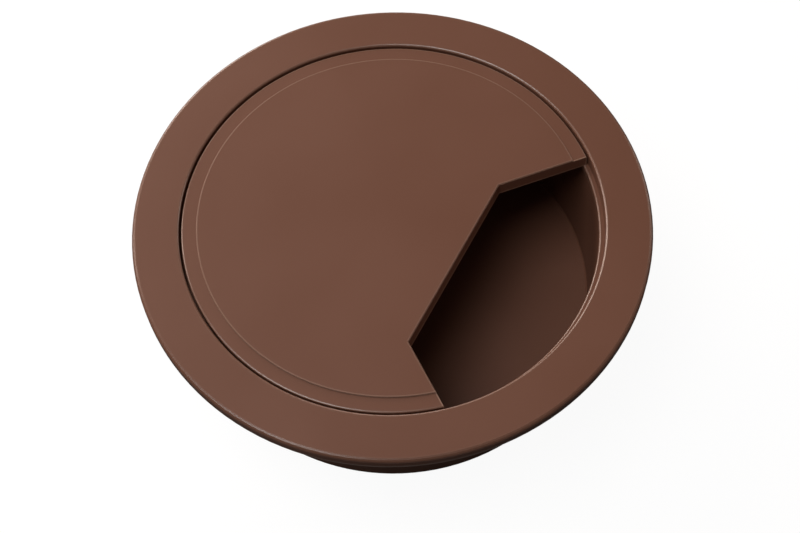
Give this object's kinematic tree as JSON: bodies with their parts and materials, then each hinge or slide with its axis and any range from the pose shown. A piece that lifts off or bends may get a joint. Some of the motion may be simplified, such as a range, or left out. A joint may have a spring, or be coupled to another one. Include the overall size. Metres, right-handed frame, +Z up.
{
  "type": "desk cable grommet",
  "caption": "Round plastic desk grommet: a flanged liner for a hole in a desk top, with a turning cap that is notched to let cables out.",
  "frame": {"origin": "on the axis, in the plane of the flange's underside, which is the desk's surface", "axes": "+Z up out of the desk along the tube's axis; +X out through the notch at rest, square to its long edge"},
  "size_m": [0.095, 0.095, 0.0278],
  "materials": {
    "brown_plastic": "fine satin moulded surface"
  },
  "bodies": {
    "sleeve": {"sleeve": "brown_plastic"},
    "cap": {"cap": "brown_plastic"}
  },
  "joints": [
    {"name": "cap_turn", "type": "hinge", "parent": "sleeve", "child": "cap", "pos_m": [0, 0, 0], "axis": [0, 0, 1], "continuous": true}
  ]
}
